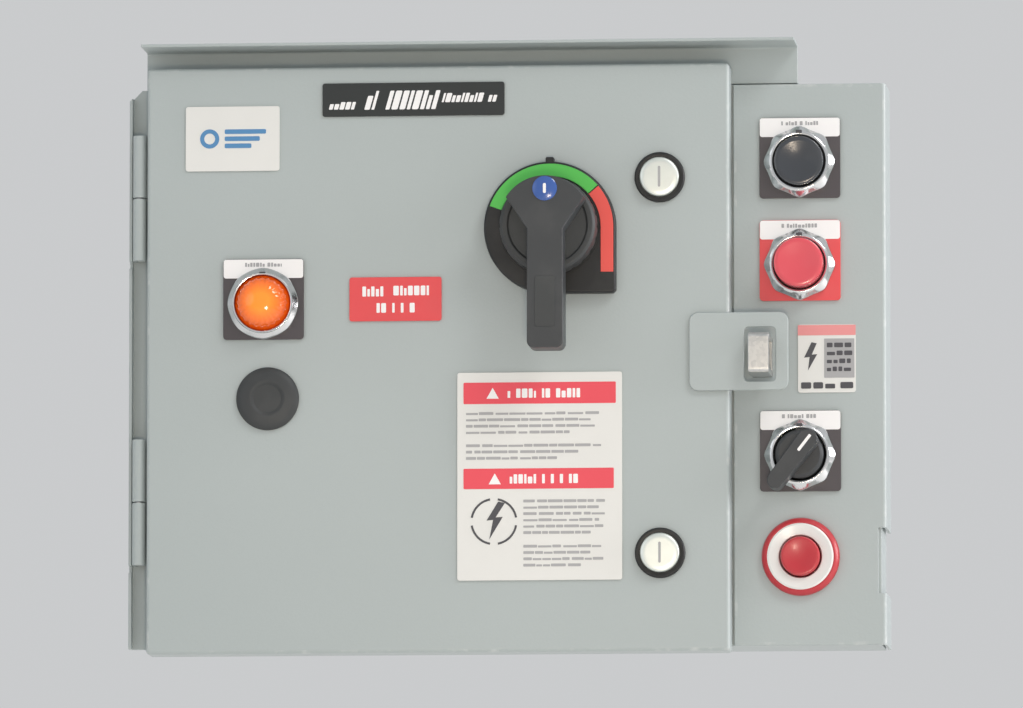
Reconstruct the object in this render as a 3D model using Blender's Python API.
"""Enclosed variable frequency drive for a bench panel.

A sheet-steel enclosure with a hinged door, a control strip beside it and a drip hood over it.
The door carries a rotary disconnect handle, a pilot light, a hole plug and two quarter-turn
latches. The strip carries start, stop, selector and reset devices. Inside are the drive
module with its heatsink and fan, the circuit breaker and the terminals.

Metres. +X is right and -Y is out of the front, +Z is up. The origin is in the outer face of
the back wall, level with the middle of the door.
"""

import math

import bmesh
import bpy
from mathutils import Matrix, Vector

GAP = 0.0003            # air left between pieces that touch
SHEET = 0.0015          # steel sheet
PLATE = 0.0013          # legend plates
LABEL = 0.0006          # thin labels
THROUGH = 0.002         # how far a cutter runs past the face that it opens
TURN_SIDES = 24
PIN_SIDES = 14

# Enclosure: a tub that passes through the bench panel, and a wider frame in front of it.
TUB_X = (-0.158, 0.164)
TUB_Z = (-0.122, 0.117)
FRAME_X = (-0.172, 0.178)
FRAME_Z = (-0.1366, 0.1314)
TUB_FLANGE = 0.007      # how far the tub's flange stands out round its mouth
PANEL_Y = -0.115        # the frame's rear face, which seats on the bench panel
FRAME_Y = -0.150        # the frame's front face
DOORWAY_X = (-0.158, 0.095)
DOORWAY_Z = (-0.126, 0.121)
STRIP_BAY_X = (0.112, 0.170)
COLLAR_DEPTH = 0.0075
FIXING_HOLE_RADIUS = 0.004
FIXING_CENTRE = (0.003, -0.0025)
FIXING_SPACING = (0.290, 0.216)

# Left flange, control strip and hood.
LEFT_EDGE = -0.1807
LEFT_FLANGE_Y = (-0.156, -0.150)
STRIP_X = (0.108, 0.1805)
STRIP_FOLD_Y = -0.118
STRIP_NOTCH_Z = (-0.112, -0.081)
STRIP_NOTCH_DEPTH = 0.004
HOOD_X = (-0.173, 0.1385)
HOOD_TOP = 0.1507
HOOD_LIP = 0.026

# Door.
DOOR_X = (-0.171, 0.107)
DOOR_Z = (-0.140, 0.140)
DOOR_FRONT = -0.166
DOOR_DEPTH = 0.0155
GASKET_WIDTH = 0.011
GASKET_DEPTH = 0.0064
PLUG_HOLE = 0.0113
HUB_HOLE = 0.0125
LATCH_HOLE = 0.009

# Hinges.
HINGE_AXIS = (-0.1752, -0.160)
HINGE_Z = {"upper": 0.0785, "lower": -0.067}
HINGE_LENGTH = 0.060
KNUCKLE_RADIUS = 0.0032
KNUCKLE_BORE = 0.0019
HINGE_PIN_RADIUS = 0.0015

# Rotary disconnect.
HUB = (0.022, 0.0615)
ESCUTCHEON_RADIUS = 0.0314
ESCUTCHEON_DEPTH = 0.0067
ROTOR_RADIUS = 0.023
ROTOR_DEPTH = 0.0147
LEVER_WIDTH = 0.017
LEVER_DROP = 0.060
LEVER_RISE = 0.0225
LEVER_FRONT = -0.199
SPINDLE_RADIUS = 0.010
ESCUTCHEON_BORE = 0.013
INDEX_HALF = 0.002      # the index tab on the escutcheon's top
INDEX_RISE = 0.0022
WINDOW_RADIUS = 0.006
WINDOW_RISE = 0.0155
SHAFT_SIDE = 0.008
SHAFT_Y = (-0.157, -0.0868)
SOCKET_SIDE = 0.0108
SOCKET_RADIUS = 0.0115
COLLAR_RADIUS = 0.0066
COLLAR_LENGTH = 0.007

# Quarter-turn latches.
LATCH_X = 0.074
LATCH_Z = {"upper": 0.0854, "lower": -0.0935}
LATCH_FLANGE_RADIUS = 0.012
LATCH_HEAD_RADIUS = 0.0094
LATCH_SPINDLE_RADIUS = 0.0056
LATCH_NUT_RADIUS = 0.0085
LATCH_RING_DEPTH = 0.002
LATCH_HEAD_DEPTH = 0.0026
LATCH_SLOT = (0.0008, 0.0065)    # half its width and half its length
CAM_LENGTH = 0.027
CAM_WIDTH = 0.012
CAM_THICKNESS = 0.0025

# Padlock hasp.
STRAP_X = (0.088, 0.135)
STRAP_Z = (-0.0166, 0.0205)
STRAP_THICKNESS = 0.002
STAPLE_X = (0.1165, 0.1265)
STAPLE_Z = (-0.009, 0.010)
STAPLE_FRONT = -0.178
STAPLE_BAR = 0.0028
STRAP_ROOM = 0.0025     # clear space round the staple

# Panel devices, by place on the door or the strip.
DEVICE_HOLE = 0.0152
THREAD_RADIUS = 0.0146
BEZEL_RADIUS = 0.017
BEZEL_BORE = 0.0124
LEGEND_SIDE = 0.0385
PILOT = (-0.115, 0.0267)
LENS_RADIUS = 0.0132
PLUG = (-0.113, -0.0186)
PLUG_RADIUS = 0.015
STRIP_DEVICE_X = 0.1397
START_Z = 0.0934
STOP_Z = 0.0444
SELECTOR_Z = -0.0465
RESET_Z = -0.0947
BUTTON_RADIUS = 0.0118
KNOB_LEAN = math.radians(38)
KNOB_HALF_WIDTH = 0.0048
KNOB_REACH = (-0.0215, 0.0125)
LEGEND_RISE = 0.0022
SLEEVE_END = -0.139
CONTACT_HALF = (0.015, 0.018)
CONTACT_DEPTH = 0.034
RESET_HOLE = 0.0114
RESET_THREAD = 0.0111
RESET_BORE = 0.0099
RESET_CAP = 0.0094
RESET_FLANGE = 0.0185

# Printed labels on the door, by X range and Z range.
TITLE = ((-0.087, 0.0), (0.116, 0.132))
RATING = ((-0.074, -0.030), (0.018, 0.039))
WARNING = ((-0.0225, 0.056), (-0.106, -0.007))

# Inside.
MOUNTING_PLATE_X = (-0.150, 0.104)
MOUNTING_PLATE_Z = (-0.100, 0.096)
MOUNTING_PLATE_Y = -0.009
DRIVE_X = (-0.146, -0.036)
DRIVE_Z = (-0.060, 0.088)
HEATSINK_FRONT = -0.052
DRIVE_FRONT = -0.104
FIN_COUNT = 12
FIN_THICKNESS = 0.0022
FAN_SIDE = 0.040
FAN_DEPTH = 0.0107
FAN_X = -0.091
FAN_Y = -0.031
BLADE_COUNT = 7
KEYPAD = ((-0.118, -0.064), (0.004, 0.074))
BREAKER_HALF = 0.027
BREAKER_Z = (0.010, 0.095)
BREAKER_FRONT = -0.070
BREAKER_STEP_Z = (0.024, 0.083)
BREAKER_STEP_FRONT = -0.084
OPERATOR_RADIUS = 0.018
OPERATOR_FRONT = -0.096
OPERATOR_BORE = 0.0075
POLE_PITCH = 0.0088     # from the middle pole to each seam
RAIL_X = (-0.022, 0.100)
RAIL_Z = (-0.0985, -0.0635)
RAIL_WALL = 0.0012
RAIL_DEPTH = 0.0073
RAIL_LIP = 0.0042
TERMINAL_X = (-0.014, 0.090)
TERMINAL_Z = (-0.100, -0.062)
TERMINAL_FRONT = -0.052
TERMINAL_WAYS = 12
GLAND_Y = -0.060
GLAND_X = {"line": 0.010, "motor": -0.060}
GLAND_BORE = 0.0062
GLAND_NECK = 0.0100
GLAND_CAP = 0.0112
GLAND_FLANGE = 0.0128

STRIP_FRONT = FRAME_Y - GAP - SHEET


# ---------------------------------------------------------------- shapes

def box(low, high):
    """A block from its lowest corner to its highest."""
    bm = bmesh.new()
    bmesh.ops.create_cube(bm, size=1)
    size = Vector(high) - Vector(low)
    middle = (Vector(high) + Vector(low)) / 2
    bmesh.ops.transform(bm, matrix=Matrix.Diagonal((*size, 1)), verts=bm.verts)
    bmesh.ops.translate(bm, vec=middle, verts=bm.verts)
    return bm


def slab(across, up, front, back):
    """A block from its X range, its Z range and its front and back Y."""
    return box((across[0], front, up[0]), (across[1], back, up[1]))


def rounded_slab(across, up, front, back, radius, segments=3):
    """A slab with its four edges along Y rounded."""
    bm = slab(across, up, front, back)
    along_y = [edge for edge in bm.edges
               if abs((edge.verts[0].co - edge.verts[1].co).normalized().y) > 0.99]
    bmesh.ops.bevel(bm, geom=along_y, offset=radius, offset_type="OFFSET", segments=segments,
                    profile=0.5, affect="EDGES")
    return bm


def prism(outline, start, end, axis):
    """An outline extruded along an axis: (x, y) points along Z, (y, z) along X, (x, z) along Y."""
    bm = bmesh.new()
    place = {"X": lambda a, b: (start, a, b),
             "Y": lambda a, b: (a, start, b),
             "Z": lambda a, b: (a, b, start)}[axis]
    face = bm.faces.new([bm.verts.new(place(a, b)) for a, b in outline])
    run = {"X": (end - start, 0, 0), "Y": (0, end - start, 0), "Z": (0, 0, end - start)}[axis]
    made = bmesh.ops.extrude_face_region(bm, geom=[face])
    top = [item for item in made["geom"] if isinstance(item, bmesh.types.BMVert)]
    bmesh.ops.translate(bm, vec=run, verts=top)
    bmesh.ops.recalc_face_normals(bm, faces=bm.faces)
    return bm


def turned(profile, centre, sides=TURN_SIDES, along="Y"):
    """A profile of (radius, place along the axis) turned about a line through centre."""
    bm = bmesh.new()
    points = [bm.verts.new((radius, 0, along_axis)) for radius, along_axis in profile]
    for first, second in zip(points, points[1:]):
        bm.edges.new((first, second))
    if min(radius for radius, _ in profile) > 0:
        bm.edges.new((points[-1], points[0]))
    bmesh.ops.spin(bm, geom=bm.verts[:] + bm.edges[:], cent=(0, 0, 0), axis=(0, 0, 1),
                   dvec=(0, 0, 0), angle=math.tau, steps=sides, use_merge=True,
                   use_normal_flip=False, use_duplicate=False)
    bmesh.ops.remove_doubles(bm, verts=bm.verts, dist=1e-6)
    if along == "Y":
        bmesh.ops.rotate(bm, cent=(0, 0, 0), matrix=Matrix.Rotation(-math.pi / 2, 3, "X"),
                         verts=bm.verts)
        bmesh.ops.translate(bm, vec=(centre[0], 0, centre[1]), verts=bm.verts)
    else:
        bmesh.ops.translate(bm, vec=(centre[0], centre[1], 0), verts=bm.verts)
    bmesh.ops.recalc_face_normals(bm, faces=bm.faces)
    return bm


def drum(centre, radius, start, end, sides=TURN_SIDES, along="Y"):
    """A plain round bar."""
    profile = [(0, start), (radius, start), (radius, end), (0, end)]
    return turned(profile, centre, sides, along)


def tilted(bm, angle, centre):
    """The shape turned about a line along Y through centre, clockwise as the front shows it."""
    bmesh.ops.rotate(bm, cent=(centre[0], 0, centre[1]),
                     matrix=Matrix.Rotation(angle, 3, "Y"), verts=bm.verts)
    return bm


# ---------------------------------------------------------------- objects

def paint(name, colour, roughness, metallic=0.0):
    material = bpy.data.materials.new(name)
    material.use_nodes = True
    shader = material.node_tree.nodes["Principled BSDF"]
    shader.inputs["Base Color"].default_value = (*colour, 1)
    shader.inputs["Roughness"].default_value = roughness
    shader.inputs["Metallic"].default_value = metallic
    return material


def pivot(name, place, parent=None):
    """An empty on a joint's axis. Its pieces share its origin."""
    empty = bpy.data.objects.new(name, None)
    bpy.context.scene.collection.objects.link(empty)
    empty["place"] = place
    empty.parent = parent
    empty.location = Vector(place) - Vector(parent["place"] if parent else (0, 0, 0))
    return empty


def solid(name, bm, material, on=None):
    """An object from a shape drawn in world coordinates, with its origin at its pivot's."""
    if on:
        bmesh.ops.translate(bm, vec=-Vector(on["place"]), verts=bm.verts)
    mesh = bpy.data.meshes.new(name)
    bm.to_mesh(mesh)
    bm.free()
    if material:
        mesh.materials.append(material)
    mesh.shade_smooth()
    mesh.set_sharp_from_angle(angle=math.radians(35))
    obj = bpy.data.objects.new(name, mesh)
    bpy.context.scene.collection.objects.link(obj)
    obj.parent = on
    return obj


def combine(obj, operation, bm):
    helper = solid(f"{obj.name}_{operation.lower()}", bm, None, obj.parent)
    helper.hide_render = True
    helper.display_type = "WIRE"
    modifier = obj.modifiers.new(operation.title(), "BOOLEAN")
    modifier.operation = operation
    modifier.solver = "EXACT"
    modifier.object = helper


def cut(obj, *shapes):
    for bm in shapes:
        combine(obj, "DIFFERENCE", bm)
    return obj


def join(obj, *shapes):
    for bm in shapes:
        combine(obj, "UNION", bm)
    return obj


def grown(span, by):
    return (span[0] - by, span[1] + by)


# ---------------------------------------------------------------- enclosure

def make_tub(steel):
    """The rear box. Its flange lies inside the front frame's rear wall, where it is welded.

    Four fixing holes are in its back, and two gland holes in its top.
    """
    flange_back = PANEL_Y - SHEET - GAP
    flange_front = flange_back - SHEET
    tub = solid("enclosure_tub", slab(TUB_X, TUB_Z, flange_front, 0), steel)
    join(tub, slab(grown(TUB_X, TUB_FLANGE), grown(TUB_Z, TUB_FLANGE), flange_front,
                   flange_back))
    cut(tub, slab(grown(TUB_X, -SHEET), grown(TUB_Z, -SHEET), flange_front - THROUGH, -SHEET))
    for right in (-0.5, 0.5):
        for up in (-0.5, 0.5):
            centre = (FIXING_CENTRE[0] + right * FIXING_SPACING[0],
                      FIXING_CENTRE[1] + up * FIXING_SPACING[1])
            cut(tub, drum(centre, FIXING_HOLE_RADIUS, -SHEET - THROUGH, THROUGH, PIN_SIDES))
    for gland_x in GLAND_X.values():
        cut(tub, drum((gland_x, GLAND_Y), GLAND_NECK + 0.0004, TUB_Z[1] - SHEET - THROUGH,
                      TUB_Z[1] + THROUGH, TURN_SIDES, "Z"))


def make_front_frame(steel):
    """The shallow front box: seating step, doorway with its gasket collar, and strip bay."""
    frame = solid("enclosure_front_frame", slab(FRAME_X, FRAME_Z, FRAME_Y, PANEL_Y), steel)
    collar = slab(grown(DOORWAY_X, SHEET), grown(DOORWAY_Z, SHEET), FRAME_Y - COLLAR_DEPTH,
                  FRAME_Y + SHEET / 2)
    join(frame, collar)
    inside = slab(grown(FRAME_X, -SHEET), grown(FRAME_Z, -SHEET), FRAME_Y + SHEET,
                  PANEL_Y - SHEET)
    rear = slab(grown(TUB_X, GAP), grown(TUB_Z, GAP), PANEL_Y - 2 * SHEET, PANEL_Y + THROUGH)
    doorway = slab(DOORWAY_X, DOORWAY_Z, FRAME_Y - COLLAR_DEPTH - THROUGH, FRAME_Y + 2 * SHEET)
    bay = slab(STRIP_BAY_X, DOORWAY_Z, FRAME_Y - THROUGH, FRAME_Y + 2 * SHEET)
    cut(frame, inside, rear, doorway, bay)


def make_left_flange(steel):
    """A bent strip along the frame's left side. Its outer lip comes forward past the hinges."""
    front, back = LEFT_FLANGE_Y
    inner = FRAME_X[0] - GAP
    outline = [
        (LEFT_EDGE, front), (LEFT_EDGE + SHEET, front), (LEFT_EDGE + SHEET, back - SHEET),
        (inner, back - SHEET), (inner, PANEL_Y - GAP), (inner - SHEET, PANEL_Y - GAP),
        (inner - SHEET, back), (LEFT_EDGE, back)]
    flange = solid("left_flange", prism(outline, FRAME_Z[0], FRAME_Z[1], "Z"), steel)
    corner = (LEFT_EDGE, FRAME_Z[1])
    cut(flange, tilted(slab((corner[0] - 0.004, corner[0] + 0.004),
                            (corner[1] - 0.004, corner[1] + 0.004), front - 0.01, back + 0.03),
                       math.radians(45), corner))
    for middle in HINGE_Z.values():
        low = middle - HINGE_LENGTH / 2
        cut(flange, slab((LEFT_EDGE - THROUGH, LEFT_EDGE + 2 * SHEET), (low - 0.003, low),
                         front - THROUGH, back - 2 * SHEET))


def make_control_strip(steel):
    """The strip's cover, folded back over the frame's right side."""
    back = FRAME_Y - GAP
    up = (FRAME_Z[0], FRAME_Z[1] - GAP)
    strip = solid("control_strip_cover", slab(STRIP_X, up, STRIP_FRONT, back), steel)
    join(strip, slab((STRIP_X[1] - SHEET, STRIP_X[1]), up, STRIP_FRONT, STRIP_FOLD_Y))
    notch_left = STRIP_X[1] - STRIP_NOTCH_DEPTH
    cut(strip, slab((notch_left, STRIP_X[1] + THROUGH), STRIP_NOTCH_Z,
                    STRIP_FRONT - THROUGH, STRIP_FOLD_Y + THROUGH))
    for height in (START_Z, STOP_Z, SELECTOR_Z):
        cut(strip, drum((STRIP_DEVICE_X, height), DEVICE_HOLE, STRIP_FRONT - THROUGH,
                        back + THROUGH))
    cut(strip, drum((STRIP_DEVICE_X, RESET_Z), RESET_HOLE, STRIP_FRONT - THROUGH, back + THROUGH))


def make_hood(steel):
    """A bent drip hood: foot on the frame's top, upright web, and a lip over the door."""
    foot = FRAME_Z[1] + GAP
    web_back = FRAME_Y + SHEET
    outline = [
        (PANEL_Y, foot), (FRAME_Y, foot), (FRAME_Y, HOOD_TOP - SHEET),
        (FRAME_Y - HOOD_LIP, HOOD_TOP - SHEET), (FRAME_Y - HOOD_LIP, HOOD_TOP),
        (web_back, HOOD_TOP), (web_back, foot + SHEET), (PANEL_Y, foot + SHEET)]
    solid("drip_hood", prism(outline, HOOD_X[0], HOOD_X[1], "X"), steel)


# ---------------------------------------------------------------- door

def make_door(steel, on):
    back = DOOR_FRONT + DOOR_DEPTH
    door = solid("door", slab(DOOR_X, DOOR_Z, DOOR_FRONT, back), steel, on)
    cut(door, slab(grown(DOOR_X, -SHEET), grown(DOOR_Z, -SHEET), DOOR_FRONT + SHEET,
                   back + THROUGH))
    holes = [(PILOT, DEVICE_HOLE), (PLUG, PLUG_HOLE), (HUB, HUB_HOLE)]
    holes += [((LATCH_X, height), LATCH_HOLE) for height in LATCH_Z.values()]
    for centre, radius in holes:
        cut(door, drum(centre, radius, DOOR_FRONT - THROUGH, DOOR_FRONT + SHEET + THROUGH))


def make_gasket(rubber, on):
    """A foam ring glued inside the door, pressed by the doorway's collar."""
    front = DOOR_FRONT + SHEET + GAP
    middle_x = grown(DOORWAY_X, SHEET / 2)
    middle_z = grown(DOORWAY_Z, SHEET / 2)
    half = GASKET_WIDTH / 2
    ring = solid("door_gasket", rounded_slab(grown(middle_x, half), grown(middle_z, half),
                                             front, front + GASKET_DEPTH, 0.004), rubber, on)
    cut(ring, slab(grown(middle_x, -half), grown(middle_z, -half), front - THROUGH,
                   front + GASKET_DEPTH + THROUGH))


def make_hinge(place, zinc, steel, door_pivot):
    """A lift-off hinge: lower knuckle on the flange, upper knuckle on the door, loose pin."""
    middle = HINGE_Z[place]
    x, y = HINGE_AXIS
    half = HINGE_LENGTH / 2
    outer = x - KNUCKLE_RADIUS
    inner = DOOR_X[0] - GAP

    low, high = middle - half, middle - GAP
    frame_leaf = solid(f"hinge_frame_leaf_{place}",
                       drum((x, y), KNUCKLE_RADIUS, low, high, PIN_SIDES, "Z"), zinc)
    join(frame_leaf, box((outer, y, low), (outer + SHEET, LEFT_FLANGE_Y[1] - SHEET - GAP, high)))
    cut(frame_leaf, drum((x, y), KNUCKLE_BORE, low - THROUGH, high + THROUGH, PIN_SIDES, "Z"))

    low, high = middle + GAP, middle + half
    door_leaf = solid(f"hinge_door_leaf_{place}",
                      drum((x, y), KNUCKLE_RADIUS, low, high, PIN_SIDES, "Z"), zinc, door_pivot)
    join(door_leaf, box((inner - SHEET, y - 0.003, low), (inner, y + 0.008, high)))
    cut(door_leaf, drum((x, y), KNUCKLE_BORE, low - THROUGH, high + THROUGH, PIN_SIDES, "Z"))

    solid(f"hinge_pin_{place}",
          drum((x, y), HINGE_PIN_RADIUS, middle - half + 0.001, middle + half - 0.001,
               PIN_SIDES, "Z"), steel)


def make_latch(place, zinc, nickel, steel, door_pivot, latch_pivot):
    """A quarter-turn latch. Its cam hangs down unlatched and turns right behind the frame."""
    centre = (LATCH_X, LATCH_Z[place])
    seat = DOOR_FRONT - GAP
    ring_front = seat - LATCH_RING_DEPTH
    cam_front = FRAME_Y + SHEET + 0.0008
    bore = LATCH_SPINDLE_RADIUS + 0.0006
    solid(f"latch_housing_{place}",
          turned([(bore, ring_front), (LATCH_FLANGE_RADIUS, ring_front),
                  (LATCH_FLANGE_RADIUS, seat), (LATCH_NUT_RADIUS, seat),
                  (LATCH_NUT_RADIUS, cam_front - 0.004), (bore, cam_front - 0.004)], centre),
          zinc, door_pivot)

    head_back = ring_front - GAP
    head_front = head_back - LATCH_HEAD_DEPTH
    head = solid(f"latch_head_{place}",
                 turned([(0, head_front), (LATCH_HEAD_RADIUS - 0.001, head_front),
                         (LATCH_HEAD_RADIUS, head_front + 0.001),
                         (LATCH_HEAD_RADIUS, head_back), (LATCH_SPINDLE_RADIUS, head_back),
                         (LATCH_SPINDLE_RADIUS, cam_front - GAP), (0, cam_front - GAP)], centre),
                 nickel, latch_pivot)
    wide, tall = LATCH_SLOT
    cut(head, slab((centre[0] - wide, centre[0] + wide), (centre[1] - tall, centre[1] + tall),
                   head_front - THROUGH, head_front + 0.0012))

    half = CAM_WIDTH / 2
    solid(f"latch_cam_{place}",
          rounded_slab((centre[0] - half, centre[0] + half),
                       (centre[1] - CAM_LENGTH, centre[1] + half + 0.001),
                       cam_front, cam_front + CAM_THICKNESS, 0.004),
          steel, latch_pivot)


def make_hasp(steel, zinc, door_pivot):
    """A padlock strap welded to the door, and the staple on the strip that it drops over."""
    back = DOOR_FRONT - GAP
    strap = solid("hasp_strap",
                  rounded_slab(STRAP_X, STRAP_Z, back - STRAP_THICKNESS, back, 0.004),
                  steel, door_pivot)
    cut(strap, rounded_slab(grown(STAPLE_X, STRAP_ROOM), grown(STAPLE_Z, STRAP_ROOM + 0.001),
                            back - STRAP_THICKNESS - THROUGH, back + THROUGH, 0.002))
    foot = STRIP_FRONT - GAP
    staple = solid("hasp_staple", slab(STAPLE_X, STAPLE_Z, STAPLE_FRONT, foot), zinc)
    cut(staple, slab(grown(STAPLE_X, THROUGH), grown(STAPLE_Z, -STAPLE_BAR),
                     STAPLE_FRONT + STAPLE_BAR, foot - 0.002))


# ---------------------------------------------------------------- rotary disconnect

def escutcheon_outline():
    """A round plate whose lower right quarter is square."""
    radius = ESCUTCHEON_RADIUS
    steps = 24
    arc = [(HUB[0] + radius * math.cos(angle), HUB[1] + radius * math.sin(angle))
           for angle in (math.radians(270) * step / steps for step in range(steps + 1))]
    return arc + [(HUB[0] + radius, HUB[1] - radius)]


def make_handle(black, blue, steel, door_pivot, handle_pivot, shaft_pivot):
    seat = DOOR_FRONT - GAP
    plate_front = seat - ESCUTCHEON_DEPTH
    plate = solid("handle_escutcheon", prism(escutcheon_outline(), plate_front, seat, "Y"),
                  black, door_pivot)
    top = HUB[1] + ESCUTCHEON_RADIUS
    join(plate, slab((HUB[0] - INDEX_HALF, HUB[0] + INDEX_HALF),
                     (top - INDEX_RISE, top + INDEX_RISE), plate_front, seat))
    cut(plate, drum(HUB, ESCUTCHEON_BORE, plate_front - THROUGH, seat + THROUGH))

    rotor_back = plate_front - GAP
    rotor_front = rotor_back - ROTOR_DEPTH
    spindle_end = DOOR_FRONT + SHEET + 0.0006
    lever = solid("handle_lever",
                  turned([(0, rotor_front), (ROTOR_RADIUS - 0.002, rotor_front),
                          (ROTOR_RADIUS, rotor_front + 0.002), (ROTOR_RADIUS, rotor_back),
                          (SPINDLE_RADIUS, rotor_back), (SPINDLE_RADIUS, spindle_end),
                          (0, spindle_end)], HUB, 32), black, handle_pivot)
    half = LEVER_WIDTH / 2
    join(lever, rounded_slab((HUB[0] - half, HUB[0] + half),
                             (HUB[1] - LEVER_DROP, HUB[1] + LEVER_RISE),
                             LEVER_FRONT, rotor_front + 0.006, 0.002, 2))

    window_place = (HUB[0], HUB[1] + WINDOW_RISE)
    solid("handle_pointer_window",
          drum(window_place, WINDOW_RADIUS, LEVER_FRONT - GAP - 0.001, LEVER_FRONT - GAP),
          blue, handle_pivot)

    socket_front = spindle_end + GAP
    socket_back = FRAME_Y + 0.004
    socket = solid("handle_coupling", drum(HUB, SOCKET_RADIUS, socket_front, socket_back),
                   black, handle_pivot)
    side = SOCKET_SIDE / 2
    cut(socket, slab((HUB[0] - side, HUB[0] + side), (HUB[1] - side, HUB[1] + side),
                     SHAFT_Y[0] - 0.003, socket_back + THROUGH))

    side = SHAFT_SIDE / 2
    shaft = solid("operating_shaft",
                  slab((HUB[0] - side, HUB[0] + side), (HUB[1] - side, HUB[1] + side),
                       SHAFT_Y[0], SHAFT_Y[1] - 0.001), steel, shaft_pivot)
    join(shaft, drum(HUB, COLLAR_RADIUS, SHAFT_Y[1] - COLLAR_LENGTH, SHAFT_Y[1]))


def make_breaker(dark):
    """A three-pole breaker with a round rotary operator that holds the shaft's end."""
    back = MOUNTING_PLATE_Y - GAP
    across = (HUB[0] - BREAKER_HALF, HUB[0] + BREAKER_HALF)
    breaker = solid("circuit_breaker", slab(across, BREAKER_Z, BREAKER_FRONT, back), dark)
    join(breaker, slab(across, BREAKER_STEP_Z, BREAKER_STEP_FRONT, BREAKER_FRONT + 0.010),
         drum(HUB, OPERATOR_RADIUS, OPERATOR_FRONT, BREAKER_STEP_FRONT + 0.004))
    cut(breaker, drum(HUB, OPERATOR_BORE, OPERATOR_FRONT - THROUGH, -0.0862))
    for pole in (-1, 1):
        for low in (0.004, 0.084):
            middle = HUB[0] + pole * POLE_PITCH
            cut(breaker, slab((middle - 0.0008, middle + 0.0008), (low, low + 0.017),
                              -0.086, -0.052))


# ---------------------------------------------------------------- panel devices

def make_legend(name, centre, seat, rise, material, on=None):
    """A square legend plate with the device's hole. Rise lifts its middle above the hole's."""
    half = LEGEND_SIDE / 2
    plate = solid(name, rounded_slab((centre[0] - half, centre[0] + half),
                                     (centre[1] + rise - half, centre[1] + rise + half),
                                     seat - PLATE, seat, 0.0015, 2), material, on)
    cut(plate, drum(centre, DEVICE_HOLE, seat - PLATE - THROUGH, seat + THROUGH))
    return seat - PLATE - GAP


def make_bezel(name, centre, seat, chrome, sleeve_end, on=None):
    """A ring nut in front of the panel, with a threaded sleeve that runs back through it."""
    front = seat - 0.0063
    solid(name, turned([(BEZEL_BORE, front), (BEZEL_RADIUS - 0.0018, front),
                        (BEZEL_RADIUS, front + 0.0018), (BEZEL_RADIUS, seat),
                        (THREAD_RADIUS, seat), (THREAD_RADIUS, sleeve_end),
                        (BEZEL_BORE, sleeve_end)], centre), chrome, on)
    return front


def make_contact_block(name, centre, front, back, half, material):
    block = solid(name, rounded_slab((centre[0] - half[0], centre[0] + half[0]),
                                     (centre[1] - half[1], centre[1] + half[1]),
                                     front, back, 0.0015, 1), material)
    for side in (-1, 1):
        middle = centre[1] + side * half[1] * 0.55
        cut(block, slab((centre[0] - 0.0045, centre[0] + 0.0045),
                        (middle - 0.003, middle + 0.003), back - 0.004, back + THROUGH))


def make_push_button(name, height, proud, dark, cap, chrome, legend, on):
    """Legend plate, bezel, cap that slides in the bezel, and contact block behind."""
    centre = (STRIP_DEVICE_X, height)
    seat = make_legend(f"{name}_legend_plate", centre, STRIP_FRONT - GAP, LEGEND_RISE, legend)
    front = make_bezel(f"{name}_bezel", centre, seat, chrome, SLEEVE_END)
    cap_front = front - proud
    solid(f"{name}_button",
          turned([(0, cap_front), (BUTTON_RADIUS - 0.0015, cap_front),
                  (BUTTON_RADIUS, cap_front + 0.0015), (BUTTON_RADIUS, SLEEVE_END - 0.006),
                  (0, SLEEVE_END - 0.006)], centre), cap, on)
    make_contact_block(f"{name}_contact_block", centre, SLEEVE_END + GAP,
                       SLEEVE_END + CONTACT_DEPTH, CONTACT_HALF, dark)


def make_selector(dark, chrome, legend, on):
    """A lever knob at its right-hand position, leaning 38 degrees clockwise."""
    centre = (STRIP_DEVICE_X, SELECTOR_Z)
    seat = make_legend("selector_legend_plate", centre, STRIP_FRONT - GAP, LEGEND_RISE, legend)
    front = make_bezel("selector_bezel", centre, seat, chrome, SLEEVE_END)
    knob = solid("selector_knob",
                 drum(centre, BUTTON_RADIUS, front - 0.002, SLEEVE_END - 0.006), dark, on)
    lever = rounded_slab((centre[0] - KNOB_HALF_WIDTH, centre[0] + KNOB_HALF_WIDTH),
                         (centre[1] + KNOB_REACH[0], centre[1] + KNOB_REACH[1]),
                         front - 0.015, front - 0.001, 0.002, 2)
    join(knob, tilted(lever, KNOB_LEAN, centre))
    make_contact_block("selector_contact_block", centre, SLEEVE_END + GAP,
                       SLEEVE_END + CONTACT_DEPTH, CONTACT_HALF, dark)


def make_reset(red, white, dark, on):
    """A ringed reset button under the other strip devices."""
    centre = (STRIP_DEVICE_X, RESET_Z)
    seat = STRIP_FRONT - GAP
    solid("reset_bezel",
          turned([(RESET_BORE, seat - 0.0035), (RESET_FLANGE - 0.002, seat - 0.0045),
                  (RESET_FLANGE, seat - 0.003), (RESET_FLANGE, seat), (RESET_THREAD, seat),
                  (RESET_THREAD, SLEEVE_END), (RESET_BORE, SLEEVE_END)], centre), white)
    solid("reset_button",
          turned([(0, seat - 0.007), (RESET_CAP - 0.0012, seat - 0.007),
                  (RESET_CAP, seat - 0.0058), (RESET_CAP, SLEEVE_END - 0.005),
                  (0, SLEEVE_END - 0.005)], centre), red, on)
    make_contact_block("reset_contact_block", centre, SLEEVE_END + GAP, SLEEVE_END + 0.030,
                       (0.012, 0.015), dark)


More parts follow.
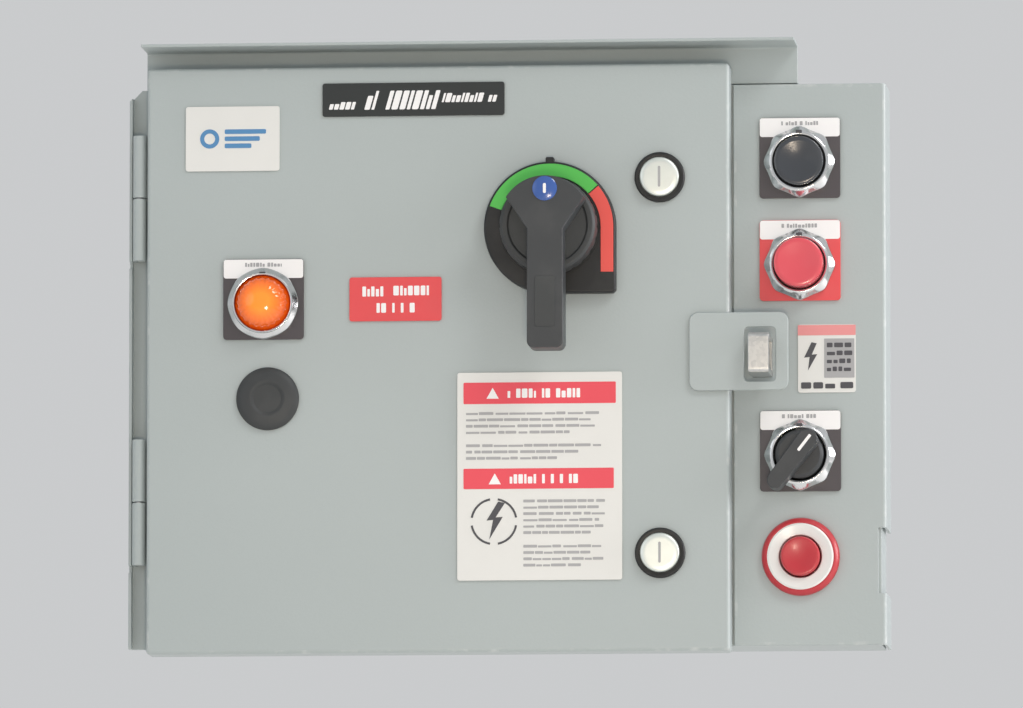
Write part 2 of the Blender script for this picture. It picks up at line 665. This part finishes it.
def make_pilot_light(amber, chrome, dark, legend, on):
    seat = make_legend("pilot_legend_plate", PILOT, DOOR_FRONT - GAP, LEGEND_RISE, legend, on)
    front = seat - 0.0052
    lens_bore = LENS_RADIUS + 0.0004
    solid("pilot_bezel", turned([(lens_bore, front), (BEZEL_RADIUS - 0.0015, front),
                                 (BEZEL_RADIUS, front + 0.0018), (BEZEL_RADIUS, seat),
                                 (lens_bore, seat)], PILOT), chrome, on)
    dome = [(LENS_RADIUS * math.sin(angle), front + 0.001 - 0.0085 * math.cos(angle))
            for angle in (math.radians(90) * step / 5 for step in range(6))]
    solid("pilot_lens", turned(dome + [(LENS_RADIUS, seat), (0, seat)], PILOT), amber, on)
    body = solid("pilot_lamp_body",
                 drum(PILOT, THREAD_RADIUS, seat + GAP, -0.148), dark, on)
    join(body, slab((PILOT[0] - 0.014, PILOT[0] + 0.014), (PILOT[1] - 0.016, PILOT[1] + 0.016),
                    -0.149, -0.122))


def make_hole_plug(black, on):
    seat = DOOR_FRONT - GAP
    solid("hole_plug", turned([(0, seat - 0.0035), (PLUG_RADIUS - 0.003, seat - 0.0032),
                               (PLUG_RADIUS, seat - 0.0012), (PLUG_RADIUS, seat),
                               (0.0108, seat), (0.0108, seat + 0.006), (0, seat + 0.006)],
                              PLUG), black, on)


def make_labels(black, red, white, on):
    back = DOOR_FRONT - GAP
    labels = {"title_label": (*TITLE, black), "rating_label": (*RATING, red),
              "warning_label": (*WARNING, white)}
    for name, (across, up, material) in labels.items():
        solid(name, rounded_slab(across, up, back - LABEL, back, 0.001, 1), material, on)


# ---------------------------------------------------------------- inside

def make_mounting_plate(zinc):
    plate = solid("mounting_plate",
                  slab(MOUNTING_PLATE_X, MOUNTING_PLATE_Z, MOUNTING_PLATE_Y,
                       MOUNTING_PLATE_Y + SHEET), zinc)
    for x in grown(MOUNTING_PLATE_X, -0.010):
        for z in grown(MOUNTING_PLATE_Z, -0.010):
            join(plate, drum((x, z), 0.005, MOUNTING_PLATE_Y + SHEET / 2, -SHEET - GAP,
                             PIN_SIDES))


def make_heatsink(aluminium):
    """Base plate in front, with fins that run up and down behind it."""
    width = DRIVE_X[1] - DRIVE_X[0]
    back = MOUNTING_PLATE_Y - GAP
    base = HEATSINK_FRONT + 0.006
    pitch = (width - FIN_THICKNESS) / (FIN_COUNT - 1)
    outline = [(DRIVE_X[0], HEATSINK_FRONT), (DRIVE_X[1], HEATSINK_FRONT)]
    for fin in reversed(range(FIN_COUNT)):
        left = DRIVE_X[0] + fin * pitch
        right = left + FIN_THICKNESS
        fin_points = [(right, base), (right, back), (left, back), (left, base)]
        if fin == FIN_COUNT - 1:
            fin_points = fin_points[1:]
        if fin == 0:
            fin_points = fin_points[:-1]
        outline += fin_points
    solid("drive_heatsink", prism(outline, DRIVE_Z[0], DRIVE_Z[1], "Z"), aluminium)


def make_drive(dark, light):
    """The drive module: a stepped plastic housing and its keypad."""
    front, back = DRIVE_FRONT, HEATSINK_FRONT - GAP
    terminals = DRIVE_Z[0] + 0.030
    outline = [(back, DRIVE_Z[0]), (back, DRIVE_Z[1]), (front + 0.006, DRIVE_Z[1]),
               (front, DRIVE_Z[1] - 0.006), (front, terminals + 0.008),
               (front + 0.008, terminals), (front + 0.014, terminals),
               (front + 0.014, DRIVE_Z[0])]
    solid("drive_housing", prism(outline, DRIVE_X[0], DRIVE_X[1], "X"), dark)
    solid("drive_keypad", rounded_slab(*KEYPAD, front - GAP - 0.005, front - GAP, 0.003, 2),
          light)


def make_fan(black, rotor_pivot):
    """A small axial fan under the heatsink's fins, blowing up."""
    half = FAN_SIDE / 2
    low = DRIVE_Z[0] - GAP - FAN_DEPTH
    high = DRIVE_Z[0] - GAP
    frame = solid("fan_frame", box((FAN_X - half, FAN_Y - half, low),
                                   (FAN_X + half, FAN_Y + half, high)), black)
    cut(frame, drum((FAN_X, FAN_Y), half - 0.0012, low - THROUGH, high + THROUGH, 28, "Z"))
    spoke = 0.0015
    join(frame,
         box((FAN_X - half + 0.0005, FAN_Y - spoke, low), (FAN_X + half - 0.0005,
                                                           FAN_Y + spoke, low + spoke)),
         box((FAN_X - spoke, FAN_Y - half + 0.0005, low), (FAN_X + spoke,
                                                           FAN_Y + half - 0.0005, low + spoke)),
         drum((FAN_X, FAN_Y), 0.0075, low, low + spoke, 20, "Z"))

    rotor_low = low + spoke + GAP
    rotor_high = high - 0.0008
    rotor = solid("fan_rotor",
                  drum((FAN_X, FAN_Y), 0.008, rotor_low, rotor_high, 21, "Z"), black,
                  rotor_pivot)
    middle = (rotor_low + rotor_high) / 2
    for number in range(BLADE_COUNT):
        blade = box((0.006, -0.0040, -0.0005), (half - 0.0024, 0.0040, 0.0005))
        turn = Matrix.Rotation(math.tau * number / BLADE_COUNT, 4, "Z")
        pitch = Matrix.Rotation(math.radians(38), 4, "X")
        place = Matrix.Translation((FAN_X, FAN_Y, middle))
        bmesh.ops.transform(blade, matrix=place @ turn @ pitch, verts=blade.verts)
        join(rotor, blade)


def make_terminals(zinc, grey):
    """A hat-section rail and the row of terminals clipped on it."""
    seat = MOUNTING_PLATE_Y - GAP
    low, high = RAIL_Z
    wall, depth, step = RAIL_WALL, RAIL_DEPTH, RAIL_LIP
    outline = [
        (seat - depth, low), (seat - depth + wall, low), (seat - depth + wall, low + step),
        (seat, low + step), (seat, high - step), (seat - depth + wall, high - step),
        (seat - depth + wall, high), (seat - depth, high), (seat - depth, high - step - wall),
        (seat - wall, high - step - wall), (seat - wall, low + step + wall),
        (seat - depth, low + step + wall)]
    solid("din_rail", prism(outline, *RAIL_X, "X"), zinc)

    left, right = TERMINAL_X
    block = solid("terminal_block", slab(TERMINAL_X, TERMINAL_Z, TERMINAL_FRONT,
                                         seat - depth - GAP), grey)
    for way in range(1, TERMINAL_WAYS):
        middle = left + (right - left) * way / TERMINAL_WAYS
        cut(block, slab((middle - 0.0006, middle + 0.0006), grown(TERMINAL_Z, THROUGH),
                        TERMINAL_FRONT - THROUGH, TERMINAL_FRONT + 0.005))


def make_gland(name, gland_x, brass):
    """A cable gland in the tub's top: body above the wall, locknut below it, open bore."""
    wall_top = TUB_Z[1] + GAP
    wall_bottom = TUB_Z[1] - SHEET - GAP
    solid(name, turned([(GLAND_BORE, wall_bottom - 0.004), (GLAND_FLANGE, wall_bottom - 0.004),
                        (GLAND_FLANGE, wall_bottom), (GLAND_NECK, wall_bottom),
                        (GLAND_NECK, wall_top), (GLAND_FLANGE, wall_top),
                        (GLAND_FLANGE, wall_top + 0.007), (GLAND_CAP, wall_top + 0.007),
                        (GLAND_CAP, wall_top + 0.014), (GLAND_BORE, wall_top + 0.017)],
                       (gland_x, GLAND_Y), 18, "Z"), brass)


# ---------------------------------------------------------------- the whole

def clear_scene():
    for obj in list(bpy.data.objects):
        bpy.data.objects.remove(obj)


def main():
    clear_scene()
    grey = paint("painted_steel", (0.41, 0.45, 0.43), 0.45)
    zinc = paint("zinc_plate", (0.55, 0.55, 0.53), 0.35, 1.0)
    steel = paint("bright_steel", (0.45, 0.45, 0.46), 0.3, 1.0)
    chrome = paint("chrome", (0.75, 0.76, 0.77), 0.12, 1.0)
    nickel = paint("satin_nickel", (0.70, 0.71, 0.69), 0.3, 1.0)
    aluminium = paint("extruded_aluminium", (0.60, 0.61, 0.62), 0.4, 1.0)
    brass = paint("nickelled_brass", (0.60, 0.55, 0.42), 0.3, 1.0)
    black = paint("black_plastic", (0.020, 0.022, 0.024), 0.45)
    dark = paint("dark_grey_plastic", (0.06, 0.065, 0.07), 0.5)
    light = paint("light_grey_plastic", (0.45, 0.46, 0.46), 0.5)
    blue = paint("blue_window", (0.05, 0.13, 0.38), 0.25)
    amber = paint("amber_lens", (0.95, 0.25, 0.02), 0.12)
    red = paint("red_plastic", (0.62, 0.05, 0.05), 0.35)
    white = paint("white_plastic", (0.78, 0.78, 0.76), 0.4)
    label = paint("label_film", (0.74, 0.74, 0.71), 0.4)
    legend = paint("legend_laminate", (0.07, 0.065, 0.07), 0.4)
    rubber = paint("foam_rubber", (0.03, 0.03, 0.03), 0.9)

    make_tub(grey)
    make_front_frame(grey)
    make_left_flange(grey)
    make_control_strip(grey)
    make_hood(grey)

    door_pivot = pivot("door_hinge_axis", (*HINGE_AXIS, 0))
    make_door(grey, door_pivot)
    make_gasket(rubber, door_pivot)
    for place in HINGE_Z:
        make_hinge(place, zinc, steel, door_pivot)
    for place, height in LATCH_Z.items():
        latch_pivot = pivot(f"latch_axis_{place}", (LATCH_X, DOOR_FRONT, height), door_pivot)
        make_latch(place, dark, nickel, steel, door_pivot, latch_pivot)
    make_hasp(grey, zinc, door_pivot)

    handle_pivot = pivot("handle_axis", (HUB[0], DOOR_FRONT, HUB[1]), door_pivot)
    shaft_pivot = pivot("shaft_axis", (HUB[0], SHAFT_Y[1], HUB[1]))
    make_handle(black, blue, steel, door_pivot, handle_pivot, shaft_pivot)
    make_breaker(dark)

    make_pilot_light(amber, chrome, dark, legend, door_pivot)
    make_hole_plug(black, door_pivot)
    make_labels(black, red, label, door_pivot)

    def strip_pivot(name, height):
        return pivot(name, (STRIP_DEVICE_X, STRIP_FRONT, height))

    make_push_button("start", START_Z, 0.0030, dark, black, chrome, legend,
                     strip_pivot("start_axis", START_Z))
    make_push_button("stop", STOP_Z, 0.0075, dark, red, chrome, red,
                     strip_pivot("stop_axis", STOP_Z))
    make_selector(black, chrome, legend, strip_pivot("selector_axis", SELECTOR_Z))
    make_reset(red, white, dark, strip_pivot("reset_axis", RESET_Z))

    make_mounting_plate(zinc)
    make_heatsink(aluminium)
    make_drive(dark, light)
    make_fan(black, pivot("fan_axis", (FAN_X, FAN_Y, DRIVE_Z[0])))
    make_terminals(zinc, light)
    for place, gland_x in GLAND_X.items():
        make_gland(f"{place}_cable_gland", gland_x, brass)


main()
